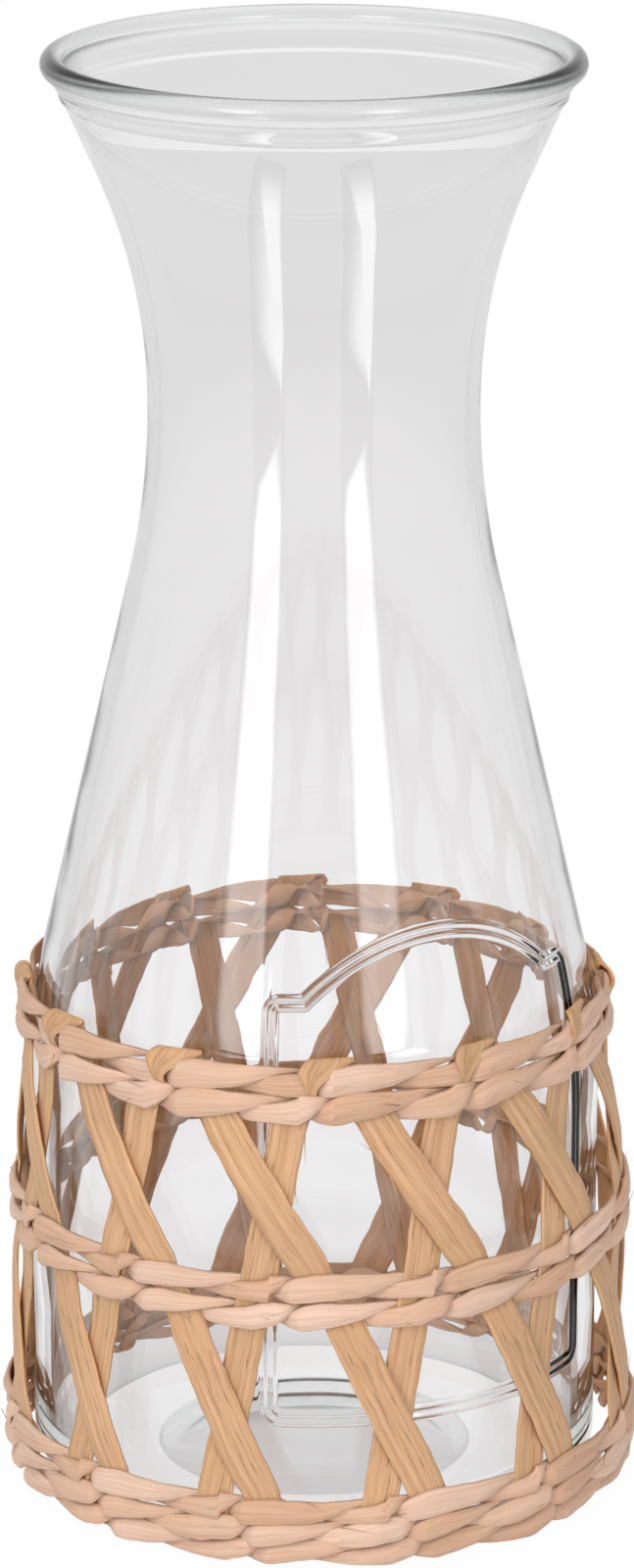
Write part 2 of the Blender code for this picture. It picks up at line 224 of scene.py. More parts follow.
def area_light(name, width, height, radiance):
    """A rectangular light whose energy is pi times its radiance, width and height."""
    light = bpy.data.lights.new(name, "AREA")
    light.shape = "RECTANGLE"
    light.size = width
    light.size_y = height
    light.energy = radiance * math.pi * width * height
    return light


strip_glow, glow_tree = new_material("strip_glow")
glow_tree.nodes.clear()
strip_place = add_node(glow_tree, "ShaderNodeUVMap", uv_map="surface").outputs[0]
strip_axes = add_node(glow_tree, "ShaderNodeSeparateXYZ", {0: strip_place}).outputs
pinch_below = ranged(glow_tree, strip_axes["Y"], PINCH_BELOW, smooth=True)
pinch_above = ranged(glow_tree, strip_axes["Y"], PINCH_ABOVE, smooth=True)
waist_pinch = computed(glow_tree, "MULTIPLY", pinch_below, pinch_above)
pinched = computed(glow_tree, "ADD", computed(glow_tree, "ABSOLUTE", strip_axes["X"]), waist_pinch)
side_soft = ranged(glow_tree, pinched, SIDE_FADE, smooth=True)
foot_soft = ranged(glow_tree, strip_axes["Y"], FOOT_FADE, smooth=True)
level = ranged(glow_tree, strip_axes["Y"], LEDGE_TO_UPRIGHT, LEDGE_RADIANCE, UPRIGHT_RADIANCE)
soft_level = computed(glow_tree, "MULTIPLY", computed(glow_tree, "MULTIPLY", side_soft, foot_soft), level)
strip_light = add_node(glow_tree, "ShaderNodeEmission", {"Color": WHITE, "Strength": soft_level})
add_node(glow_tree, "ShaderNodeOutputMaterial", {"Surface": strip_light.outputs[0]})
strip_glow.cycles.emission_sampling = "NONE"
for side, azimuth, name in STRIPS:
    middle = side * math.radians(azimuth)
    across, back = STRIP_DISTANCE * math.sin(middle), -STRIP_DISTANCE * math.cos(middle)
    light = area_light(name, STRIP_WIDTH, STRIP_HEIGHT, LAMP_RADIANCE)
    place = (across, back, STRIP_HEIGHT / 2 + STRIP_CLEARANCE)
    hang_lamp(light, place, (math.radians(90), 0, middle), ("camera", "glossy", "transmission"))
    edge = np.array([middle - STRIP_HALF_ANGLE, middle + STRIP_HALF_ANGLE])[None, :]
    reach = np.array([STRIP_FOOT, STRIP_DISTANCE, STRIP_DISTANCE])[:, None]
    rise = np.array([STRIP_LEDGE, STRIP_LEDGE, STRIP_HEIGHT])[:, None] + 0 * edge
    face = np.stack([reach * np.sin(edge), -reach * np.cos(edge), rise], axis=-1)
    corners = ((0, 1, 3, 2), (2, 3, 5, 4))
    face_uv = [(corner % 2 * 2 - 1, corner // 2) for span in corners for corner in span]
    lamp_face = add_mesh(name + "_face", face, corners, face_uv)
    lamp_face.data.materials.append(strip_glow)
    hide_from(lamp_face, ("camera", "diffuse", "transmission", "shadow"))

rear_turn = (-math.atan2(REAR_PLACE[1], REAR_PLACE[2] - REAR_AIM), 0, 0)
rear_light = area_light("rear_lamp", REAR_SIZE, REAR_SIZE, REAR_RADIANCE)
hang_lamp(rear_light, REAR_PLACE, rear_turn, ("camera", "glossy", "transmission"))

soft_sun = bpy.data.lights.new("overhead", "SUN")
soft_sun.energy = SUN_STRENGTH
soft_sun.angle = math.radians(SUN_SPREAD)
sun_turn = (math.radians(SUN_TILT[0]), math.radians(SUN_TILT[1]), 0)
hang_lamp(soft_sun, (0, 0, 0), sun_turn, ("glossy", "transmission"))


# The bottle is one piece of clear glass, blown into a mould: a straight body, a long
# cone, a waisted neck and a flared mouth with a rounded bead over a narrow collar.
# The mould has left a raised double line round a bare arched panel on the body.
CARAFE_HEIGHT = 0.250
RIM_RADIUS = 0.0454
BEAD_RADIUS = 0.00195
BEAD_END = math.radians(-52)
COLLAR_BOTTOM = 0.2421
FLARE_RADIUS = 0.0414
NECK_RADIUS = 0.0280
NECK_HEIGHT = 0.1907
BODY_RADIUS = 0.0492
SHOULDER_HEIGHT = 0.0842
SHOULDER_FILLET = 0.110
HEEL_RADIUS = 0.0070
NECK_WALL = 0.0020
BODY_WALL = 0.0030
FLOOR_THICKNESS = 0.0042
INNER_HEEL_RADIUS = 0.0080
CAP_RADIUS = 0.0008
PUNT_RADIUS = 0.0274
PUNT_RISE = 0.0022
FLARE_ARC_SHARE = 0.93
WAIST_ARC_SHARE = 0.4875
PANEL_AZIMUTH = math.radians(28.0)
PANEL_HALF_WIDTH = 0.0318
PANEL_BOTTOM = 0.0265
PANEL_SHOULDER = 0.0988
PANEL_LEDGE = 0.0060
PANEL_LEDGE_RISE = 0.0005
PANEL_ARCH_RISE = 0.0102
PANEL_CORNER = 0.0025
PANEL_TOP_CORNER = 0.0016
PANEL_TOP_TURN = math.radians(78)
PANEL_ARCH_FROM = 0.0012
LINE_SPACING = 0.0016
LINE_HALF_WIDTH = 0.00075
LINE_HEIGHT = 0.00042

# Steps of the section's arcs, and bands of columns and rows that close up at the panel's lines
FLARE_STEPS, WAIST_STEPS, SHOULDER_STEPS = 30, 24, 16
HEEL_STEPS, BEAD_STEPS, CONE_STEPS, MOUTH_STEPS = 12, 26, 13, 15
SIDE_BAND = (0.0232, 0.0336)
SIDE_COLUMNS, FRONT_COLUMNS, BACK_COLUMNS = 48, 26, 112
ARCH_BAND = 0.0024
ARCH_TOP = 0.1250
FOOT_BAND = (PANEL_BOTTOM - 0.0020, PANEL_BOTTOM + 0.0046)
LIP_DROP = 0.0006
UNDER_LIP = 0.0009


def arc(centre, radius, start, end, steps):
    """Points (r, z) = centre + radius (cos a, sin a), for a from start to end in equal steps."""
    a = np.linspace(start, end, steps + 1)
    return np.stack([centre[0] + radius * np.cos(a), centre[1] + radius * np.sin(a)], axis=1)


def waist_arc(neck_radius, target, share):
    """The neck's arc to where a straight line to the target touches it.

    Radius = share (rise^2 + reach^2) / (2 reach), where rise and reach go from the
    neck to the target; turned is the angle from the waist to the touching point.
    """
    rise = abs(target[1] - NECK_HEIGHT)
    reach = target[0] - neck_radius
    radius = share * (rise**2 + reach**2) / (2 * reach)
    turned = math.atan2(rise, radius - reach) - math.acos(radius / math.hypot(radius - reach, rise))
    return (neck_radius + radius, NECK_HEIGHT), radius, turned


def side_profile(neck_radius, body_radius, flare_target):
    """(r, z) down one side: flare arc, waist arc, straight cone, shoulder fillet to the body."""
    centre, radius, turned = waist_arc(neck_radius, flare_target, FLARE_ARC_SHARE)
    upper = arc(centre, radius, math.pi - turned, math.pi, FLARE_STEPS)
    centre, radius, turned = waist_arc(neck_radius, (body_radius, SHOULDER_HEIGHT), WAIST_ARC_SHARE)
    lower = arc(centre, radius, math.pi, math.pi + turned, WAIST_STEPS)
    drop = SHOULDER_FILLET * math.tan(turned / 2)
    centre = (body_radius - SHOULDER_FILLET, SHOULDER_HEIGHT - drop)
    return np.concatenate([upper, lower[1:], arc(centre, SHOULDER_FILLET, turned, 0, SHOULDER_STEPS)])


def eased(points, steps):
    """A path through the points with no overshoot, as steps samples for each span.

    Cubic in the length s along the points, with the slope at each point the harmonic
    mean of its two neighbouring spans' slopes, or 0 where those differ in sign.
    """
    place = np.concatenate([[0], np.cumsum(np.linalg.norm(np.diff(points, axis=0), axis=1))])
    span = np.diff(place)[:, None]
    slope = np.diff(points, axis=0) / span
    product = slope[:-1] * slope[1:]
    total = slope[:-1] + slope[1:]
    inner = np.where(product > 0, 2 * product / np.where(product > 0, total, 1), 0)
    tangent = np.concatenate([slope[:1], inner, slope[-1:]])
    t = np.linspace(0, 1, steps, endpoint=False)[None, :, None]
    first, second = points[:-1, None], points[1:, None]
    leave, arrive = (tangent[:-1] * span)[:, None], (tangent[1:] * span)[:, None]
    curve = (
        first * (2 * t**3 - 3 * t**2 + 1)
        + leave * (t**3 - 2 * t**2 + t)
        + second * (3 * t**2 - 2 * t**3)
        + arrive * (t**3 - t**2)
    )
    return np.concatenate([curve.reshape(-1, points.shape[1]), points[-1:]])


def panel_outline():
    """(along, height) of the panel's middle line, from its foot up the right side, over and back."""
    half, ledge = PANEL_HALF_WIDTH, PANEL_SHOULDER + PANEL_LEDGE_RISE
    foot = arc((half - PANEL_CORNER, PANEL_BOTTOM + PANEL_CORNER), PANEL_CORNER, -math.pi / 2, 0, 10)
    corner = (half - PANEL_TOP_CORNER, PANEL_SHOULDER - PANEL_ARCH_FROM)
    top = arc(corner, PANEL_TOP_CORNER, 0, PANEL_TOP_TURN, 6)
    span = half - PANEL_LEDGE
    radius = (span**2 + PANEL_ARCH_RISE**2) / (2 * PANEL_ARCH_RISE)
    turned = math.asin(span / radius)
    arch = arc((0, ledge + PANEL_ARCH_RISE - radius), radius, math.pi / 2 - turned, math.pi / 2, 24)
    right = np.concatenate([foot, top, arch])
    return np.concatenate([right, right[::-1] * (-1, 1)])


def distance_to(outline, along, height):
    """Least distance from each (along, height) to the closed outline's straight spans."""
    span = np.roll(outline, -1, axis=0) - outline
    square = np.maximum((span**2).sum(axis=1), 1e-12)
    away = np.full(along.shape, np.inf)
    for (x, z), (dx, dz), long in zip(outline, span, square):
        share = np.clip(((along - x) * dx + (height - z) * dz) / long, 0, 1)
        away = np.minimum(away, np.hypot(along - x - share * dx, height - z - share * dz))
    return away


def panel_top(along):
    """Height of the panel's upper line at a distance along the body from its middle."""
    outline = panel_outline()
    upper = outline[outline[:, 1] > PANEL_SHOULDER - PANEL_ARCH_FROM - 0.0001]
    order = np.argsort(upper[:, 0])
    return np.interp(along, upper[order, 0], upper[order, 1])


def around(azimuth, radius, height):
    """XYZ at an azimuth, radius and height: (r sin a, -r cos a, z)."""
    azimuth, radius, height = np.broadcast_arrays(azimuth, radius, height)
    return np.stack([radius * np.sin(azimuth), -radius * np.cos(azimuth), height], axis=-1)


def grid_piece(name, points, uv, ring_rows=False):
    """A closed piece over a grid of points (row, column, xyz), its columns a ring.

    Face (i, j) takes the corners (i, j), (i, j+1), (i+1, j+1), (i+1, j), wrapping
    round; two flat caps close the rows unless they are a ring as well. uv holds one
    more row and column than the points in each direction that wraps.
    """
    rows, columns = points.shape[:2]
    i, j = np.meshgrid(np.arange(rows - (not ring_rows)), np.arange(columns), indexing="ij")
    steps = ((0, 0), (0, 1), (1, 1), (1, 0))
    faces = np.stack([(i + a) % rows * columns + (j + b) % columns for a, b in steps], axis=-1)
    corner_uv = np.stack([uv[i + a, j + b] for a, b in steps], axis=2).reshape(-1, 2)
    faces = faces.reshape(-1, 4).tolist()
    if not ring_rows:
        rim = np.arange(columns)
        faces += [rim[::-1].tolist(), (rim + (rows - 1) * columns).tolist()]
        corner_uv = np.concatenate([corner_uv, uv[0, rim[::-1]], uv[-1, rim]])
    piece = add_mesh(name, points, faces, corner_uv)
    piece.data.shade_smooth()
    return piece


def glass_columns():
    """Distances along the body of the glass's columns: close at the panel's sides, wide elsewhere."""
    near, far = SIDE_BAND
    fine = np.linspace(near, far, SIDE_COLUMNS)
    front = np.linspace(-near, near, FRONT_COLUMNS)[1:-1]
    back = np.linspace(far, 2 * np.pi * BODY_RADIUS - far, BACK_COLUMNS)[1:-1]
    return np.concatenate([-fine[::-1], front, fine, back])


def bottle_grid():
    """The section turned round the axis: azimuth of every column, r and z of every row at it.

    Rows follow the section up the inside and down the outside. On the body they
    close up along the panel's lines and bend to follow its arch, and the outside
    there stands out by LINE_HEIGHT cos^2 of the distance from each of two lines.
    """
    along = glass_columns()
    inner_body = BODY_RADIUS - BODY_WALL
    mouth = (RIM_RADIUS - 2 * BEAD_RADIUS, CARAFE_HEIGHT - BEAD_RADIUS)
    inside = side_profile(NECK_RADIUS - NECK_WALL, inner_body, mouth)[::-1]
    heel_centre = (inner_body - INNER_HEEL_RADIUS, FLOOR_THICKNESS + INNER_HEEL_RADIUS)
    floor_reach = np.linspace(CAP_RADIUS, heel_centre[0], HEEL_STEPS)
    floor = np.stack([floor_reach, np.full(HEEL_STEPS, FLOOR_THICKNESS)], axis=1)
    inner_heel = arc(heel_centre, INNER_HEEL_RADIUS, -math.pi / 2, 0, HEEL_STEPS)[1:]
    wall_height = np.linspace(inner_heel[-1, 1], inside[0, 1], 10)[1:-1]
    wall = np.stack([np.full(len(wall_height), inner_body), wall_height], axis=1)
    cone = np.linspace(inside[SHOULDER_STEPS], inside[SHOULDER_STEPS + 1], CONE_STEPS + 1)[1:-1]
    flare = np.linspace(inside[-1], mouth, MOUTH_STEPS + 1)[1:]
    inside = np.concatenate([inside[: SHOULDER_STEPS + 1], cone, inside[SHOULDER_STEPS + 1 :], flare])
    bead_centre = (RIM_RADIUS - BEAD_RADIUS, CARAFE_HEIGHT - BEAD_RADIUS)
    bead = arc(bead_centre, BEAD_RADIUS, math.pi, BEAD_END, BEAD_STEPS)[1:]
    collar = [
        bead[-1],
        (FLARE_RADIUS + 0.0022, COLLAR_BOTTOM + 0.0034),
        (FLARE_RADIUS + 0.0012, COLLAR_BOTTOM + 0.0018),
        (FLARE_RADIUS + 0.0009, COLLAR_BOTTOM + 0.0006),
        (FLARE_RADIUS + 0.0004, COLLAR_BOTTOM),
        (FLARE_RADIUS + 0.0001, COLLAR_BOTTOM - 0.0003),
    ]
    under_bead = eased(np.array(collar), 3)[1:]
    outside = side_profile(NECK_RADIUS, BODY_RADIUS, (FLARE_RADIUS, COLLAR_BOTTOM))
    outside = np.concatenate([outside, [[BODY_RADIUS, HEEL_RADIUS]]])[::-1]
    lip = outside[-1, 1] - LIP_DROP
    top = panel_top(np.where(np.abs(along) < 0.05, along, 0.05))
    bands = [
        (lip, lip - UNDER_LIP, 3),
        (lip - UNDER_LIP, ARCH_TOP, 60),
        (ARCH_TOP, top + ARCH_BAND, 7),
        (top + ARCH_BAND, top - ARCH_BAND, 24),
        (top - ARCH_BAND, FOOT_BAND[1], 30),
        (FOOT_BAND[1], FOOT_BAND[0], 32),
        (FOOT_BAND[0], HEEL_RADIUS, 8),
    ]
    height = [np.linspace(a + 0 * along, b + 0 * along, count, endpoint=False) for a, b, count in bands]
    height = np.concatenate(height)
    radius = np.interp(height, outside[:, 1], outside[:, 0])
    away = distance_to(panel_outline(), along[None, :] + 0 * height, height)
    step = np.clip(np.abs(away - LINE_SPACING / 2) / LINE_HALF_WIDTH, 0, 1)
    radius = radius + LINE_HEIGHT * np.cos(np.pi / 2 * step) ** 2
    heel = arc((BODY_RADIUS - HEEL_RADIUS, HEEL_RADIUS), HEEL_RADIUS, 0, -math.pi / 2, HEEL_STEPS)
    punt = [
        (PUNT_RADIUS + 0.006, 0),
        (PUNT_RADIUS, 0),
        (PUNT_RADIUS - 0.003, 0.0007),
        (0.018, 0.0015),
        (0.008, PUNT_RISE - 0.0001),
        (CAP_RADIUS, PUNT_RISE),
    ]
    before = np.concatenate([floor, inner_heel, wall, inside, bead, under_bead])
    after = np.concatenate([heel, eased(np.array(punt), 5)])
    all_round = np.zeros((1, len(along)))
    r = np.concatenate([before[:, :1] + all_round, radius, after[:, :1] + all_round])
    z = np.concatenate([before[:, 1:] + all_round, height, after[:, 1:] + all_round])
    return PANEL_AZIMUTH + along / BODY_RADIUS, r[::-1], z[::-1]


azimuth, radius, height = bottle_grid()
points = around(azimuth[None, :], radius, height)
turn = np.append(azimuth, azimuth[0] + 2 * np.pi)[None, :] / (2 * np.pi)
uv = np.stack(np.broadcast_arrays(turn, np.linspace(0, 1, len(points))[:, None]), axis=-1)
bottle = grid_piece("clear_bottle", points, uv)

GLASS_IOR = 1.5
GLASS_TINT = (0.988, 0.976, 0.984, 1)
# Painted shade: over the bead the glass is drawn a darker grey than elsewhere.
BEAD_PAINTED_SHADE = (0.945, 0.945, 0.945, 1)
BEAD_SHADE_REACH = (0.2440, 0.2462)
BEAD_ROUGH_REACH = (0.2425, 0.2462)
BEAD_ROUGHNESS = 0.20
SHADOW_TINT = (0.99, 0.99, 0.99, 1)
GLASS_SHADE = (0.50, 0.56, 0.54, 1)
GLASS_DENSITY = 26.0


def noise(tree, vector, scale, detail, **more):
    """Noise from 0 to 1 over a vector, at a scale, with detail octaves and any further inputs."""
    inputs = {"Vector": vector, "Scale": scale, "Detail": detail, **more}
    return add_node(tree, "ShaderNodeTexNoise", inputs).outputs["Fac"]


clear_glass, glass_tree = new_material("clear_glass_finish")
body = glass_tree.nodes["Principled BSDF"]
glass_place = add_node(glass_tree, "ShaderNodeTexCoord").outputs["Object"]
glass_level = add_node(glass_tree, "ShaderNodeSeparateXYZ", {0: glass_place}).outputs["Z"]
# Painted shade on the bead, mixed into the glass colour by height.
bead_shade_share = ranged(glass_tree, glass_level, BEAD_SHADE_REACH)
bead_shade_inputs = {"Factor": bead_shade_share, "A": GLASS_TINT, "B": BEAD_PAINTED_SHADE}
bead_shade_mix = add_node(glass_tree, "ShaderNodeMix", bead_shade_inputs, data_type="RGBA")
bead_rough = ranged(glass_tree, glass_level, BEAD_ROUGH_REACH, 0.0, BEAD_ROUGHNESS)
ripple = noise(glass_tree, glass_place, 60.0, 1.0)
ripple_inputs = {"Strength": 0.25, "Distance": 0.0003, "Height": ripple}
ripple_bump = add_node(glass_tree, "ShaderNodeBump", ripple_inputs)
let_through = add_node(glass_tree, "ShaderNodeBsdfTransparent", {"Color": SHADOW_TINT})
shadow_ray = add_node(glass_tree, "ShaderNodeLightPath").outputs["Is Shadow Ray"]
glass_inputs = {0: shadow_ray, 1: body.outputs[0], 2: let_through.outputs[0]}
glass_mix = add_node(glass_tree, "ShaderNodeMixShader", glass_inputs)
shade_inputs = {"Color": GLASS_SHADE, "Density": GLASS_DENSITY}
thick_shade = add_node(glass_tree, "ShaderNodeVolumeAbsorption", shade_inputs)
body_inputs = {
    "IOR": GLASS_IOR,
    "Transmission Weight": 1.0,
    "Roughness": bead_rough,
    "Base Color": bead_shade_mix.outputs["Result"],
    "Normal": ripple_bump.outputs["Normal"],
}
feed(glass_tree, body, body_inputs)
out_inputs = {"Surface": glass_mix.outputs[0], "Volume": thick_shade.outputs[0]}
feed(glass_tree, glass_tree.nodes["Material Output"], out_inputs)
bottle.data.materials.append(clear_glass)
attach(bottle, "root")
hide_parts("glass_bottle")


# Twelve splints are split from pale wood, flat and about 6 mm wide. Each is folded over
# the top row of twining, and its two legs lean apart down to the table, the right leg
# outside the left. The hoops alone hold them. Their edges are uneven from splitting.
SPLINT_COUNT = 12
RIGHT_WIDTH = 0.0067
LEFT_WIDTH = 0.0061
HOOP_WIDTH = 0.0060
SPLINT_THICKNESS = 0.00055
STRAND_THICKNESS = 0.0008
PIECE_GAP = 0.00005
STACK = SPLINT_THICKNESS / 2 + PIECE_GAP + STRAND_THICKNESS / 2
HALF_STACK = STACK + STRAND_THICKNESS / 2
PITCH = 2 * math.pi / SPLINT_COUNT
FIRST_FOLD = math.radians(3.5)
LAYER_OFFSET = 0.0005
LAYER_RAMP = 0.0060
WIDTH_TUCK = 0.0012
WIDTH_RAMP = 0.0025
SPLINT_END = 0.0034
SLEEVE_LEAN = 0.0010
LEAN_REACH = (0.054, 0.084)
ROW_DROP = 0.0024
CROSSING_ROOM = 0.0046
BEFORE_SHARE = 0.40
AFTER_SHARE = 0.30
HOOPS = ((0.0020, 0.0142), (0.0446, 0.0539), (0.0800, 0.0896))


def glass_radius(place):
    """Outer radius of the bare glass at a height."""
    outside = side_profile(NECK_RADIUS, BODY_RADIUS, (FLARE_RADIUS, COLLAR_BOTTOM))[::-1]
    return np.interp(place, outside[:, 1], outside[:, 0])


def woven_row(name, height, slack, half, stagger):
    """A row with its middle radius: on the raised line, plus its slack and half its stack."""
    radius = glass_radius(height - ROW_DROP) + LINE_HEIGHT + slack + HALF_STACK
    return name, height, radius, half, stagger


# Name, height, slack, half height, and how far its two crossings stray, in degrees.
ROWS = [
    woven_row("top_row_1", 0.0872, -0.0003, 0.00258, (0.0, 0.0)),
    woven_row("top_row_2", 0.0823, -0.0003, 0.00258, (0.0, -1.2)),
    woven_row("middle_row_1", 0.0515, 0.0018, 0.00228, (0.0, 0.8)),
    woven_row("middle_row_2", 0.0468, 0.0018, 0.00228, (1.0, -1.6)),
    woven_row("bottom_row_1", 0.0120, 0.0035, 0.00238, (0.0, 0.6)),
    woven_row("bottom_row_2", 0.0079, 0.0034, 0.00238, (2.0, -3.2)),
    woven_row("bottom_row_3", 0.0042, 0.0027, 0.00215, (3.8, 1.4)),
]

# Heights where a leg bends, and the azimuths there from its fold, of the right and left leg
LEG_MARKS = (-0.0100, 0.0020, 0.0140, 0.0446, 0.0539, 0.0800, 0.0872, 0.0960)
RIGHT_MARKS = np.radians((57.0, 51.3, 46.2, 31.0, 25.3, 8.0, 2.7, -2.5))
LEFT_MARKS = np.radians((-27.5, -25.0, -22.6, -16.6, -14.6, -8.4, -6.3, -4.5))

# The fold: degrees from its middle, how far out from the top row's middle, height over the
# row's, width, and roll. It comes out under the top row, stands proud of it, and goes in over it.
PROUD = HALF_STACK + 0.0004
FOLD_MARKS = (
    (-4.7, -0.0002, -0.0032, 0.0030, 0),
    (-4.3, 0.0008, -0.0025, 0.0021, 0),
    (-4.1, PROUD - 0.0001, -0.0013, 0.0022, 0.05),
    (-3.6, PROUD + 0.0002, 0.0001, 0.0036, 0.16),
    (-2.6, PROUD - 0.0002, 0.0012, 0.0064, 0.24),
    (-1.5, PROUD - 0.0008, 0.0022, 0.0088, 0.24),
    (-0.8, 0.0003, 0.0031, 0.0088, 0.18),
    (-0.3, -0.0004, 0.0035, 0.0074, 0.10),
    (0.6, -0.0007, 0.0026, 0.0064, 0),
    (2.7, -0.0001, 0, 0.0058, 0),
)
LEG_TOP = 0.0814
SPAN_STATIONS = 8
SPLINT_STEPS = 5
FACE_POINTS = 9
WOOD_EDGE_WANDER = 0.03
WOOD_CUP = 0.00012
WOOD_DRIFT = 0.00012
WOOD_SWAY = 0.00006
WOOD_WAVES = (0.013, 0.021, 0.034)


def sleeve_radius(place):
    """Radius of the splints' middle layer at a height."""
    heights, radii = np.array([row[1:3] for row in ROWS])[::-1].T
    return np.interp(place, heights, radii)


def right_leg(place):
    """Azimuth of the leg that leans right, from its fold: straight between hoops, bent at each."""
    return np.interp(place, LEG_MARKS, RIGHT_MARKS)


def left_leg(place):
    """Azimuth of the leg that leans left, from its fold, likewise."""
    return np.interp(place, LEG_MARKS, LEFT_MARKS)


def in_sleeve(azimuth, radius, height):
    """XYZ in the loose sleeve, which hangs SLEEVE_LEAN to the right below the top hoop."""
    aside = np.interp(height, LEAN_REACH, (SLEEVE_LEAN, 0))
    return around(azimuth, radius, height) + aside[..., None] * np.array([1.0, 0, 0])


def held(place, tuck, ramp):
    """1 where a hoop, drawn in by tuck, holds a splint, easing to 0 over the ramp outside it."""
    away = [np.maximum(np.maximum(low + tuck - place, place - high + tuck), 0) for low, high in HOOPS]
    share = np.clip(1 - np.min(away, axis=0) / ramp, 0, 1)
    return share**2 * (3 - 2 * share)


def wander(place, phases, wavelength):
    """Slow unevenness: the mean of three sines, at the wavelength, its half and its third."""
    waves = [np.sin(2 * np.pi * k * place / wavelength + phase) for k, phase in zip((1, 2, 3), phases)]
    return sum(waves) / 3


def crossings(place):
    """Azimuths from a fold where a row's two strands change places, before and after a right leg."""
    right, left = right_leg(place), left_leg(place)
    left = left + PITCH * np.floor((right - left) / PITCH)
    room = max(AFTER_SHARE * (left + PITCH - right), CROSSING_ROOM / sleeve_radius(place))
    return left + BEFORE_SHARE * (right - left), left + PITCH - room


def splint_stations():
    """(azimuth, radius, height, width, level, roll) along a splint: up, over the top row, down."""
    marks = [SPLINT_END, HOOPS[0][1], *HOOPS[1], HOOPS[2][0]]
    spans = [np.linspace(low, high, SPAN_STATIONS + 1)[:-1] for low, high in zip(marks, marks[1:])]
    heights = np.append(np.concatenate(spans), (HOOPS[2][0], LEG_TOP))
    layer = LAYER_OFFSET * (1 - held(heights, 0, LAYER_RAMP))
    drawn_in = held(heights, WIDTH_TUCK, WIDTH_RAMP)
    middle, level = sleeve_radius(heights), 0 * heights
    legs = []
    for azimuth, radius, width in (
        (left_leg(heights), middle - layer, LEFT_WIDTH),
        (right_leg(heights), middle + layer, RIGHT_WIDTH),
    ):
        width = width + (HOOP_WIDTH - width) * drawn_in
        legs.append(np.stack([azimuth, radius, heights, width, level, level], axis=1))
    turn, out, rise, width, roll = np.array(FOLD_MARKS).T
    row_height, row_middle = ROWS[0][1:3]
    fold = [np.radians(turn), row_middle + out, row_height + rise, width, 0 * turn + 1, roll]
    return np.concatenate([legs[0], np.stack(fold, axis=1), legs[1][::-1]])


def splint(name, fold_azimuth, draw):
    """A flat strip carried along its stations, a little cupped, its edges wandering.

    Its width lies level round the carafe where level is 1 and square to the path
    where it is 0; roll turns its right edge in. Across, v runs from -1 to 1 and back,
    and the strip is thickest in its middle: half thickness (1 - 0.3 v^4) T / 2, bowed
    out by WOOD_CUP (1 - v^2).
    """
    stations = splint_stations()
    position = around(stations[:, 0], stations[:, 1], stations[:, 2])
    path = eased(np.concatenate([position * 100, stations], axis=1), SPLINT_STEPS)[:, 3:]
    azimuth, radius, height, width, level, roll = path.T
    azimuth = azimuth + fold_azimuth
    middle = in_sleeve(azimuth, radius, height)
    length = np.concatenate([[0], np.cumsum(np.linalg.norm(np.diff(middle, axis=0), axis=1))])
    phases = draw.uniform(0, 2 * np.pi, (4, 3))
    along = np.gradient(middle, axis=0)
    along /= np.linalg.norm(along, axis=1)[:, None]
    tangent = around(azimuth + np.pi / 2, 1, 0)
    lean = (tangent * along).sum(axis=1) * (1 - level)
    across = tangent - lean[:, None] * along
    across -= roll[:, None] * around(azimuth, 1, 0)
    across /= np.linalg.norm(across, axis=1)[:, None]
    through = np.cross(along, across)
    through /= np.linalg.norm(through, axis=1)[:, None]
    v = np.concatenate([np.linspace(-1, 1, FACE_POINTS), np.linspace(1, -1, FACE_POINTS)])
    face = np.repeat([-1.0, 1.0], FACE_POINTS)
    uneven, drift, sway = [wander(length, phase, wave) for phase, wave in zip(phases, WOOD_WAVES)]
    half_width = width / 2 * (1 + WOOD_EDGE_WANDER * uneven)
    shift = WOOD_DRIFT * drift * (1 - level)
    sway = WOOD_SWAY * sway * (1 - level)
    thick = SPLINT_THICKNESS / 2 * (1 - 0.3 * v**4) * face + WOOD_CUP * (1 - v**2)
    points = (
        middle[:, None]
        + across[:, None] * (half_width[:, None] * v + shift[:, None])[..., None]
        + through[:, None] * (thick[None] + sway[:, None])[..., None]
    )
    across_uv = np.concatenate([np.linspace(0, 1, FACE_POINTS), np.linspace(1.1, 2.1, FACE_POINTS), [2.2]])
    uv = np.stack(np.broadcast_arrays(length[:, None] * 100, across_uv[None, :]), axis=-1)
    return grid_piece(name, points, uv)


def ramp_colour(tree, factor, stops):
    """A colour ramp's colour, its stops (place, colour) with colours as display values 0 to 255."""
    ramp = add_node(tree, "ShaderNodeValToRGB", {0: factor})
    elements = ramp.color_ramp.elements
    while len(elements) < len(stops):
        elements.new(0.5)
    for element, (place, colour) in zip(elements, stops):
        element.position = place
        element.color = (*[(c / 255) ** 2.2 for c in colour], 1)
    return ramp.outputs[0]


def stretched(tree, surface, along, across):
    """The surface's own coordinates, scaled along and across, for marks that run lengthwise."""
    inputs = {"Vector": surface, "Scale": (along, across, 1)}
    return add_node(tree, "ShaderNodeMapping", inputs).outputs[0]


def thin_lines(tree, pattern, reach, low):
    """low to 1 away from the lines where a pattern passes through 0.5."""
    near = computed(tree, "ABSOLUTE", computed(tree, "SUBTRACT", pattern, 0.5))
    return ranged(tree, near, reach, low)


def with_painted_inner_warmth(tree, share, colour):
    """A colour warmed by a share: painted warm light on the faces turned in to the glass."""
    inputs = {"Factor": share, "A": colour, "B": INNER_PAINTED_WARMTH}
    mixed = add_node(tree, "ShaderNodeMix", inputs, data_type="RGBA", blend_type="MULTIPLY")
    return mixed.outputs["Result"]


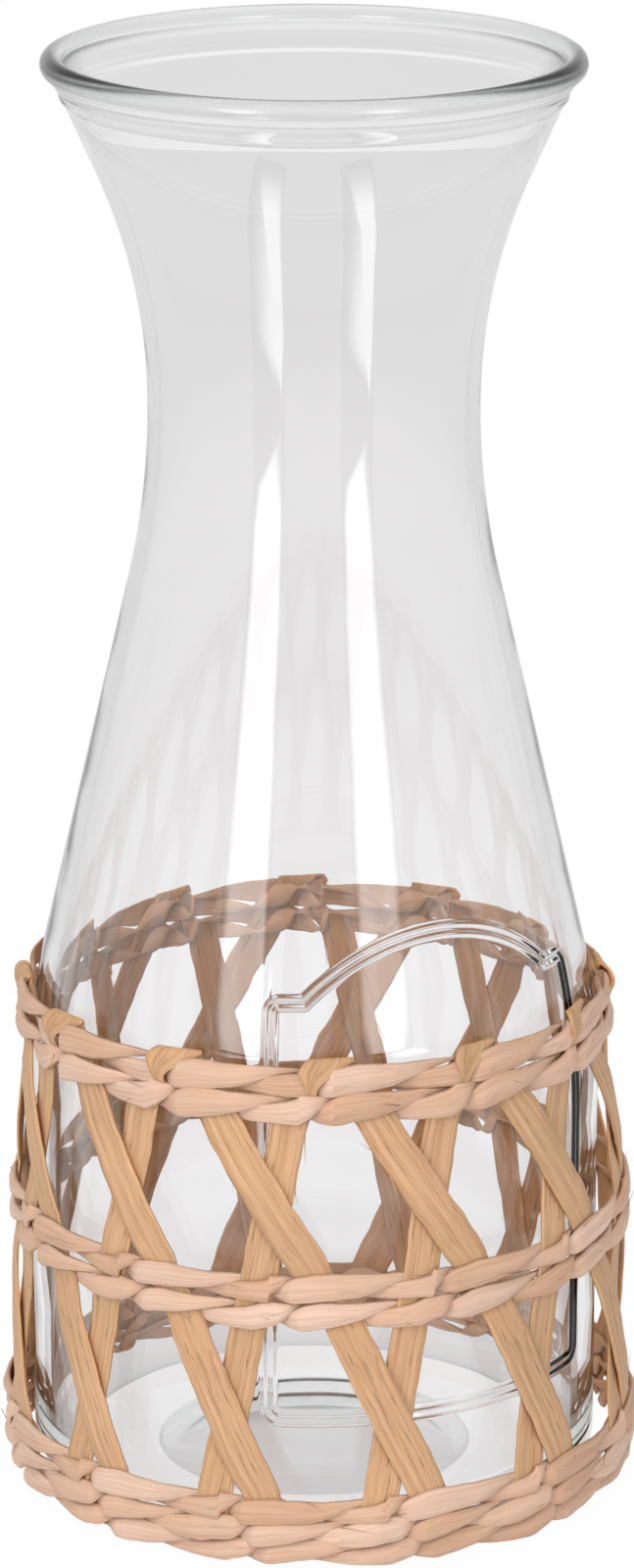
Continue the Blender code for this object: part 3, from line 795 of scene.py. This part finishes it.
def dry_surface(tree, colour, tones, roughness, grain, bump, light_inside):
    """Feeds the shader its colour times its tones, a bump (strength, depth) and light inside."""
    tone = tones[0]
    for factor in tones[1:]:
        tone = computed(tree, "MULTIPLY", tone, factor)
    shade = add_node(tree, "ShaderNodeVectorMath", {0: colour, "Scale": tone}, operation="SCALE")
    bump_inputs = {"Strength": bump[0], "Distance": bump[1], "Height": grain}
    inputs = {
        "Base Color": shade.outputs[0],
        "Roughness": roughness,
        "Normal": add_node(tree, "ShaderNodeBump", bump_inputs).outputs[0],
        "Subsurface Weight": light_inside[0],
        "Subsurface Radius": light_inside[1],
        "Subsurface Scale": light_inside[2],
    }
    feed(tree, tree.nodes["Principled BSDF"], inputs)


# Painted light: faces turned in to the glass are drawn warmer and redder, as if lit through the sleeve from
# behind.
INNER_PAINTED_WARMTH = (1.20, 0.98, 0.74, 1)
INNER_WARMTH_SHARE = 0.75
WOOD_COLOURS = (
    (0.25, (188, 144, 104)),
    (0.42, (200, 157, 118)),
    (0.58, (208, 168, 130)),
    (0.78, (216, 180, 145)),
)


def wood_finish():
    """Bare split wood: gold, with long dark grain, paler streaks and a dry broken surface.

    A face looks inwards, and is given painted warm light, where its normal and its level
    place, x and y, point against each other: their product, in metres, goes from 5 mm out to 5 mm in.
    """
    material, tree = new_material("split_wood_finish")
    surface = add_node(tree, "ShaderNodeUVMap", uv_map="surface").outputs[0]
    spot = add_node(tree, "ShaderNodeTexCoord").outputs
    grain = noise(tree, stretched(tree, surface, 0.30, 7), 1.0, 4.0, Roughness=0.6)
    stroke = noise(tree, stretched(tree, surface, 0.38, 8.0), 1.0, 1.0, Distortion=0.2)
    fibre = noise(tree, stretched(tree, surface, 2.2, 34), 1.0, 3.0, Roughness=0.6)
    patch = noise(tree, spot["Object"], 55.0, 2.0)
    place_inputs = {0: spot["Object"], 1: (1, 1, 0)}
    level_place = add_node(tree, "ShaderNodeVectorMath", place_inputs, operation="MULTIPLY")
    facing_inputs = {0: level_place.outputs[0], 1: spot["Normal"]}
    facing = add_node(tree, "ShaderNodeVectorMath", facing_inputs, operation="DOT_PRODUCT")
    # Painted warm light on the faces turned in to the glass.
    inner = ranged(tree, facing.outputs["Value"], (0.005, -0.005), 0.0, INNER_WARMTH_SHARE)
    stroke_line = thin_lines(tree, stroke, (0.002, 0.017), 0.0)
    stroke_dark = computed(tree, "MAXIMUM", stroke_line, ranged(tree, grain, (0.44, 0.60), 0.60))
    fibre_dark = ranged(tree, fibre, (0.34, 0.60), 0.88, 1.04)
    patch_tone = ranged(tree, patch, (0.3, 0.7), 0.93, 1.05)
    colour = with_painted_inner_warmth(tree, inner, ramp_colour(tree, grain, WOOD_COLOURS))
    tones = (fibre_dark, patch_tone, stroke_dark)
    rough = ranged(tree, fibre, (0, 1), 0.55, 0.80)
    light_inside = (0.45, (1.0, 0.55, 0.30), 0.0009)
    dry_surface(tree, colour, tones, rough, fibre, (0.35, 0.00012), light_inside)
    return material


split_wood = wood_finish()
splint_draw = np.random.default_rng(11)
for number in range(SPLINT_COUNT):
    name = f"splint_{number + 1:02d}"
    strip = splint(name + "_wood", FIRST_FOLD + number * PITCH, splint_draw)
    strip.data.materials.append(split_wood)
    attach(strip, "root")
    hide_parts(name)


# Each row of twining is two flat strands of dry plant fibre, pinkish tan and creased along
# their length. They go round together and change places between the legs, so each leg has
# one strand in front and one behind, and what shows is a chain of long pointed leaves.
NARROW_CROSSING = 0.0042
WIDE_CROSSING = 0.0128
TIP_THICKNESS = 0.0010
STATIONS = 110
SECTION_POINTS = 28
LEAF_STEPS = 12
CUP = 0.00048
SHINGLE = 0.00022
CREASE_DEPTH = 0.00012
LEAF_RISE_SPREAD = 0.00017
LEAF_WIDTH_SPREAD = 0.06
STRAND_SWAY = 0.00006
SWAY_WAVES, SLOW_WAVES, QUICK_WAVES, EDGE_WAVES = 17, 9, 23, 31
TABLE_CLEARANCE = 0.0001


def leaf_edges(place, first, last, enter, leave, pitch, half):
    """Upper and lower edge of a strand at each place along its row.

    In front, from first to last, it comes out of a crossing at the lower left over the
    length enter, swells, and goes into the next at the upper right over leave. Behind,
    it falls from the upper right to the lower left. The marks are in half rows.
    """
    swell = (first + enter + last - leave) / 2
    hidden = first + pitch - last
    marks = np.array(
        [
            (first, -0.68, -0.82),
            (first + 0.45 * enter, 0.08, -1.08),
            (first + enter, 0.72, -1.10),
            (swell, 1.05, -0.90),
            (last - leave, 0.98, -0.64),
            (last - 0.5 * leave, 0.88, 0.02),
            (last, 0.66, 0.52),
            (last + 0.25 * hidden, 0.90, -0.50),
            (last + 0.5 * hidden, 0.80, -0.85),
            (last + 0.8 * hidden, 0.10, -0.95),
            (first + pitch, -0.68, -0.82),
        ]
    )
    marks[:, 0] /= half
    curve = eased(marks, LEAF_STEPS)
    return [half * np.interp(place / half, curve[:, 0], curve[:, k]) for k in (1, 2)]


def strand(name, height, middle, half, stagger, over_right, draw):
    """One strand of a row, a closed ring drawn between its upper and lower edge.

    side goes from -1 behind a leg to 1 in front as -cos over each crossing. The section
    is a flat oval cupped by CUP (1 - v^2), v from its lower edge to its upper, with the
    lower edge SHINGLE further out over the row below. Long creases follow
    cos(2 pi n v + phase), deep where the strand narrows and gone where it is full.
    """
    before, after = np.array(crossings(height)) + np.radians(stagger)
    start, finish = (before, after) if over_right else (after, before + PITCH)
    enter, leave = (NARROW_CROSSING, WIDE_CROSSING)[:: 1 if over_right else -1]
    first, last = -enter / 2, (finish - start) * middle + leave / 2
    turn = np.linspace(0, 2 * np.pi, STATIONS * SPLINT_COUNT, endpoint=False)
    local = turn - start - first / middle
    fold = np.floor(local / PITCH)
    place = (local - fold * PITCH) * middle + first
    front = place < last
    leaf = fold.astype(int) % SPLINT_COUNT
    belly = np.where(front, np.sin(np.pi * np.clip((place - first) / (last - first), 0, 1)), 0)
    upper, lower = leaf_edges(place, first, last, enter, leave, PITCH * middle, half)
    centre = (upper + lower) / 2 + draw.normal(0, LEAF_RISE_SPREAD, SPLINT_COUNT)[leaf] * belly
    swelling = draw.normal(0, LEAF_WIDTH_SPREAD, SPLINT_COUNT)[leaf] * belly
    half_width = (upper - lower) / 2 * (1 + swelling)
    tone = draw.uniform(0, 1, (2, SPLINT_COUNT))[(~front).astype(int), leaf]
    come = -np.cos(np.pi * np.clip((place - first) / enter, 0, 1))
    go = -np.cos(np.pi * np.clip((last - place) / leave, 0, 1))
    side = np.where(front, np.minimum(come, go), -1)
    fullness = np.clip(half_width / (0.8 * half), 0, 1)
    thickness = TIP_THICKNESS + (STRAND_THICKNESS - TIP_THICKNESS) * fullness
    phases = draw.uniform(0, 2 * np.pi, (5, 3))
    circle, circumference = turn * middle, 2 * np.pi * middle
    psi = np.linspace(0, 2 * np.pi, SECTION_POINTS, endpoint=False)
    v = np.cos(psi)[None]
    face = np.sign(np.sin(psi))[None]
    out = face * np.abs(np.sin(psi))[None] ** 0.65
    slow = wander(circle, phases[0], circumference / SLOW_WAVES)[:, None]
    quick = wander(circle, phases[1], circumference / QUICK_WAVES)[:, None]
    wide_crease = np.cos(2 * np.pi * (1.4 * v + 0.55 * slow))
    fine_crease = np.cos(2 * np.pi * (2.9 * v + 0.5 * quick))
    crease = 0.6 * wide_crease + 0.4 * fine_crease
    gather = (1 - 0.80 * fullness)[:, None]
    edge = wander(circle, phases[2], circumference / EDGE_WAVES) * fullness
    half_width = half_width * (1 + 0.04 * edge)
    radial = (
        (middle + STACK * side)[:, None]
        + thickness[:, None] / 2 * out
        + CREASE_DEPTH * gather * crease * face * (1 - v**2)
        + CUP * (side * fullness)[:, None] * (1 - v**2)
        - SHINGLE * (side * fullness)[:, None] * v
        + STRAND_SWAY * wander(circle, phases[3], circumference / SWAY_WAVES)[:, None]
    )
    vertical = np.maximum(height + centre[:, None] + half_width[:, None] * v, TABLE_CLEARANCE)
    points = in_sleeve(turn[:, None] + FIRST_FOLD, radial, vertical)
    u = np.append(circle, circumference)[:, None] * 100
    ring = np.append(psi, 2 * np.pi)[None]
    across = np.where(ring <= np.pi, (1 - np.cos(ring)) / 2, 1 + (1 + np.cos(ring)) / 2)
    uv = np.stack(np.broadcast_arrays(u, across), axis=-1)
    piece = grid_piece(name, points, uv, ring_rows=True)
    leaf_tone = np.repeat(0.5 + (tone - 0.5) * fullness, SECTION_POINTS)
    # Painted shade: the leaves are drawn darker along their creases, most towards the tips, and along their
    # edges.
    lines = (1 - gather * (0.5 - 0.5 * crease) ** 2) * (1 - 0.60 * v**8)
    for label, values in (("leaf_tone", leaf_tone), ("crease", lines)):
        layer = piece.data.attributes.new(label, "FLOAT", "POINT")
        layer.data.foreach_set("value", values.astype(np.float32).ravel())
    return piece


FIBRE_COLOURS = (
    (0.20, (198, 156, 126)),
    (0.40, (209, 170, 143)),
    (0.60, (216, 180, 157)),
    (0.85, (226, 197, 177)),
)


def fibre_finish():
    """Dry flat fibre: pinkish tan leaves of uneven tone, painted shade in the creases and at the edges, fine
    fibres along.

    The half of the surface with y over 1 looks inwards and gets painted warm light. A leaf's own
    tone shifts its place on the colour ramp by 0.46 tone - 0.23.
    """
    material, tree = new_material("dry_fibre_finish")
    surface = add_node(tree, "ShaderNodeUVMap", uv_map="surface").outputs[0]
    spot = add_node(tree, "ShaderNodeTexCoord").outputs["Object"]
    fibre = noise(tree, stretched(tree, surface, 0.9, 36), 1.0, 4.0, Roughness=0.6)
    streak = noise(tree, stretched(tree, surface, 0.45, 8), 1.0, 4.0, Roughness=0.6)
    line = noise(tree, stretched(tree, surface, 0.36, 4.2), 1.0, 1.0)
    patch = noise(tree, spot, 70.0, 2.0)
    leaf_tone = add_node(tree, "ShaderNodeAttribute", attribute_name="leaf_tone").outputs["Fac"]
    crease = add_node(tree, "ShaderNodeAttribute", attribute_name="crease").outputs["Fac"]
    tone_shift = computed(tree, "MULTIPLY_ADD", leaf_tone, 0.46, -0.23)
    base = ramp_colour(tree, computed(tree, "ADD", streak, tone_shift), FIBRE_COLOURS)
    sides = add_node(tree, "ShaderNodeSeparateXYZ", {0: surface}).outputs["Y"]
    # Painted warm light on the inward half of each strand.
    inner = ranged(tree, sides, (0.98, 1.06), 0.0, INNER_WARMTH_SHARE)
    # Painted shade in the creases and at the leaf edges, read from the crease attribute.
    crease_painted_shade = ranged(tree, crease, (0.0, 0.70), 0.40)
    fibre_dark = ranged(tree, fibre, (0.34, 0.60), 0.94, 1.03)
    patch_tone = ranged(tree, patch, (0.3, 0.7), 0.93, 1.04)
    line_dark = thin_lines(tree, line, (0.002, 0.016), 0.80)
    tones = (crease_painted_shade, fibre_dark, patch_tone, line_dark)
    light_inside = (0.25, (1.0, 0.60, 0.40), 0.0006)
    dry_surface(tree, with_painted_inner_warmth(tree, inner, base), tones, 0.62, fibre, (0.30, 0.00010), light_inside)
    return material


dry_fibre = fibre_finish()
strand_draw = np.random.default_rng(23)
for row_name, *row_sizes in ROWS:
    for over_right, letter in ((True, "a"), (False, "b")):
        node_name = f"{row_name}_strand_{letter}"
        ring = strand(node_name + "_fibre", *row_sizes, over_right, strand_draw)
        ring.data.materials.append(dry_fibre)
        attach(ring, "root")
        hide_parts(node_name)


# Loose fibres stand off the dry edges: slivers split from the splints' sides, still held
# at one end, and short hairs of fibre that stick out of the hoops.
SLIVER_COUNT = 34
SLIVER_OPENINGS = (0.018, 0.056)
SLIVER_OPENING_HEIGHT = 0.024
SLIVER_LENGTH = (0.003, 0.009)
SLIVER_SPLAY = (0.0006, 0.0020)
SLIVER_THICKNESS = (0.00022, 0.00045)
SLIVER_HEIGHTS = (0.003, 0.089)
SLIVER_ROOT = 0.0002
HAIR_COUNT = 80
HAIR_ROOT_SPREAD = 0.0022
HAIR_RISE_SPREAD = 0.0016
HAIR_STAND_OFF = (0.0002, 0.0016)
HAIR_LENGTH = (0.0015, 0.0060)
HAIR_THICKNESS = (0.00010, 0.00018)
HAIR_LOWEST = 0.0004
FIBRE_STEPS = 12
FIBRE_SIDES = 5


def thin_fibres(name, path, thickness):
    """Round fibres along paths (fibre, step, xyz), thinning as (1 - t)^0.6 to their free end."""
    count, steps = path.shape[:2]
    along = np.gradient(path, axis=1)
    along /= np.linalg.norm(along, axis=2)[..., None]
    sideways = np.cross(along, (0.30, 0.20, 0.93))
    sideways /= np.linalg.norm(sideways, axis=2)[..., None]
    upright = np.cross(along, sideways)
    turn = np.linspace(0, 2 * np.pi, FIBRE_SIDES, endpoint=False)
    t = np.linspace(0, 0.98, steps)
    reach = thickness[:, None, None, None] / 2 * ((1 - t) ** 0.6)[None, :, None, None]
    ring = np.cos(turn)[:, None] * sideways[:, :, None] + np.sin(turn)[:, None] * upright[:, :, None]
    points = path[:, :, None] + reach * ring
    fibre, i, j = np.meshgrid(np.arange(count), np.arange(steps - 1), np.arange(FIBRE_SIDES), indexing="ij")
    corners = [
        (fibre * steps + i + a) * FIBRE_SIDES + (j + b) % FIBRE_SIDES
        for a, b in ((0, 0), (0, 1), (1, 1), (1, 0))
    ]
    sides = np.stack(corners, axis=-1).reshape(-1, 4)
    roots = np.arange(count)[:, None] * steps * FIBRE_SIDES + np.arange(FIBRE_SIDES)
    caps = np.concatenate([roots[:, ::-1], roots + (steps - 1) * FIBRE_SIDES])
    place = np.stack([points[..., 2].ravel() * 100, np.tile(turn / (2 * np.pi), count * steps)], axis=1)
    corner_uv = place[np.concatenate([sides.ravel(), caps.ravel()])]
    piece = add_mesh(name, points, sides.tolist() + caps.tolist(), corner_uv)
    piece.data.shade_smooth()
    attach(piece, "root")
    return piece


fibre_draw = np.random.default_rng(5)
share = np.linspace(0, 1, FIBRE_STEPS)[None]


def drawn(count, bounds):
    """One even draw between the bounds for each of count fibres, as a column."""
    return fibre_draw.uniform(*bounds, count)[:, None]


def either_way(count):
    """-1 or 1 for each of count fibres, as a column."""
    return fibre_draw.choice((-1, 1), count)[:, None]


on_right = fibre_draw.integers(0, 2, SLIVER_COUNT)[:, None] == 1
edge = either_way(SLIVER_COUNT)
opening = np.where(fibre_draw.random(SLIVER_COUNT) < 0.5, *SLIVER_OPENINGS)[:, None]
root_height = opening + drawn(SLIVER_COUNT, (0, SLIVER_OPENING_HEIGHT))
run = either_way(SLIVER_COUNT) * drawn(SLIVER_COUNT, SLIVER_LENGTH)
sliver_height = np.clip(root_height + run * share, *SLIVER_HEIGHTS)
fold_place = FIRST_FOLD + PITCH * fibre_draw.integers(0, SPLINT_COUNT, SLIVER_COUNT)[:, None]
splay = drawn(SLIVER_COUNT, SLIVER_SPLAY) * share**1.6
sliver_thickness = drawn(SLIVER_COUNT, SLIVER_THICKNESS)[:, 0]
splint_radius = sleeve_radius(sliver_height) + np.where(on_right, LAYER_OFFSET, -LAYER_OFFSET)
leg_half = np.where(on_right, RIGHT_WIDTH, LEFT_WIDTH) / 2 * 1.04
leg_place = np.where(on_right, right_leg(sliver_height), left_leg(sliver_height))
sliver_azimuth = fold_place + leg_place + edge * (leg_half - SLIVER_ROOT + splay) / splint_radius
sliver_path = in_sleeve(sliver_azimuth, splint_radius + 0.5 * splay, sliver_height)
slivers = thin_fibres("split_slivers", sliver_path, sliver_thickness)
slivers.data.materials.append(split_wood)

# The hairs stick out of every row but the lowest
row = fibre_draw.integers(0, len(ROWS) - 1, HAIR_COUNT)
row_height, row_middle = np.array([entry[1:3] for entry in ROWS])[row].T[..., None]
root_height = row_height + drawn(HAIR_COUNT, (-HAIR_ROOT_SPREAD, HAIR_ROOT_SPREAD))
hair_rise = fibre_draw.normal(0, HAIR_RISE_SPREAD, HAIR_COUNT)[:, None]
stand_off = drawn(HAIR_COUNT, HAIR_STAND_OFF)
sweep = either_way(HAIR_COUNT) * drawn(HAIR_COUNT, HAIR_LENGTH)
hair_radius = row_middle + HALF_STACK + PIECE_GAP + stand_off * share**1.4
hair_azimuth = drawn(HAIR_COUNT, (0, 2 * np.pi)) + sweep * share / hair_radius
hair_height = np.maximum(root_height + hair_rise * share**1.5, HAIR_LOWEST)
hair_path = in_sleeve(hair_azimuth, hair_radius, hair_height)
hair_thickness = drawn(HAIR_COUNT, HAIR_THICKNESS)[:, 0]
hairs = thin_fibres("fibre_hairs", hair_path, hair_thickness)
hairs.data.materials.append(dry_fibre)


bpy.context.view_layer.update()
